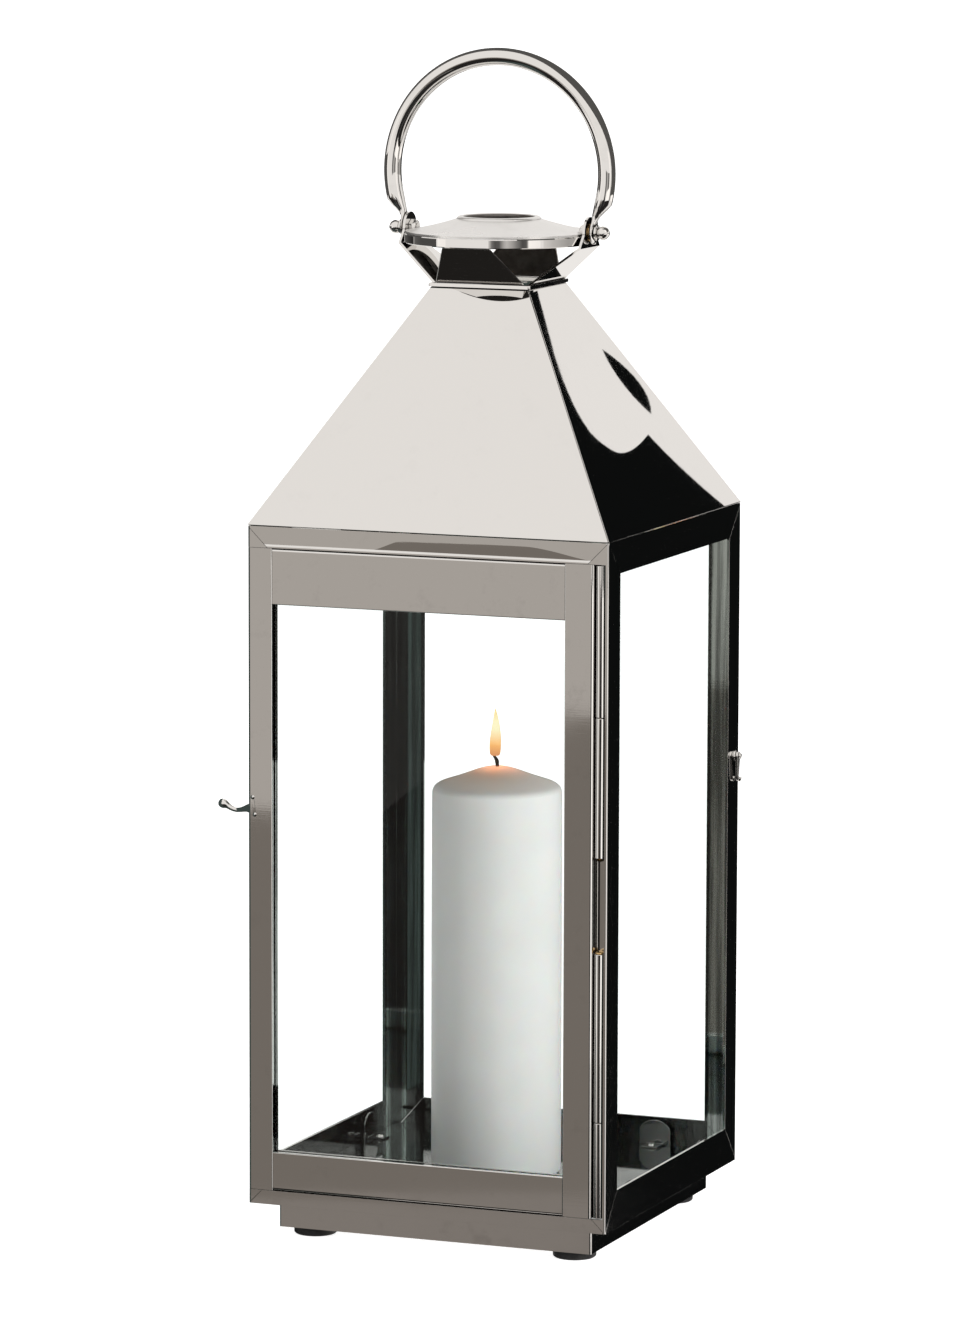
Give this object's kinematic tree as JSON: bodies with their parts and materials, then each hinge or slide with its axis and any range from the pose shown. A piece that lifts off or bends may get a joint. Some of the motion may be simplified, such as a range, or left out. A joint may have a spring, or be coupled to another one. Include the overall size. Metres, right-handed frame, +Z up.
{
  "type": "candle lantern",
  "caption": "Tall square candle lantern with glazed walls, a hinged glazed door, a pyramid roof, a vented round cap and a ring handle, on rubber feet.",
  "frame": {"origin": "on the ground under the centre of the bounding box; the body's middle is 9.5 mm towards +X, because the catch lever stands out on -X", "axes": "+Z up through the cap, -Y out of the door side, +X towards the door's hinge side"},
  "size_m": [0.2472, 0.221, 0.684],
  "materials": {
    "steel": "polished",
    "glass": "clear",
    "rubber": "matt",
    "brass": "polished",
    "wax": "smooth wax",
    "wick": "charred"
  },
  "bodies": {
    "lantern": {"plinth": "steel", "rubber_feet": "rubber", "foot_screws": "steel", "floor_plate": "steel", "sill_front": "steel", "bottom_left": "steel", "bottom_right": "steel", "bottom_rear": "steel", "inner_frame_top": "steel", "inner_frame_bottom": "steel", "post_front_left": "steel", "post_front_right": "steel", "post_rear_left": "steel", "post_rear_right": "steel", "eave_front": "steel", "top_left": "steel", "top_right": "steel", "top_rear": "steel", "pane_left": "glass", "pane_right": "glass", "pane_rear": "glass", "glass_tabs": "steel", "tab_rivets": "steel", "roof_front": "steel", "roof_rear": "steel", "roof_left": "steel", "roof_right": "steel", "roof_collar": "steel", "neck_front": "steel", "neck_rear": "steel", "neck_left": "steel", "neck_right": "steel", "cap_rim": "steel", "cap_dome": "steel", "pivot_bolts": "steel", "pivot_washers": "brass", "pivot_inner_nuts": "steel", "pivot_ball_nuts": "steel", "hinge_body_knuckles": "steel", "hinge_pins": "brass", "rear_eye": "steel"},
    "handle": {"handle_ring": "steel"},
    "door": {"door_stile_left": "steel", "door_stile_right": "steel", "door_rail_top": "steel", "door_rail_bottom": "steel", "door_glass": "glass", "hinge_door_knuckles": "steel", "keeper": "steel", "keeper_rivets": "steel"},
    "catch": {"latch_lever": "steel", "latch_tongue": "steel"},
    "hook": {"rear_hook": "steel"},
    "candle": {"candle": "wax", "wick": "wick"}
  },
  "joints": [
    {"name": "handle_swing", "type": "hinge", "parent": "lantern", "child": "handle", "pos_m": [0.0095, 0, 0.5795], "axis": [1, 0, 0], "range_deg": [-130, 130]},
    {"name": "door_hinge", "type": "hinge", "parent": "lantern", "child": "door", "pos_m": [0.1144, -0.1066, 0.2], "axis": [0, 0, 1], "range_deg": [0, 95]},
    {"name": "catch_turn", "type": "hinge", "parent": "lantern", "child": "catch", "pos_m": [-0.1005, -0.099, 0.25], "axis": [1, 0, 0], "range_deg": [-90, 0]},
    {"name": "hook_swing", "type": "hinge", "parent": "lantern", "child": "hook", "pos_m": [0.121, 0.1027, 0.2655], "axis": [1, 0, 0], "continuous": true},
    {"name": "candle_lift", "type": "slide", "parent": "lantern", "child": "candle", "axis": [0, 0, 1], "range_m": [0, 0.06]}
  ]
}
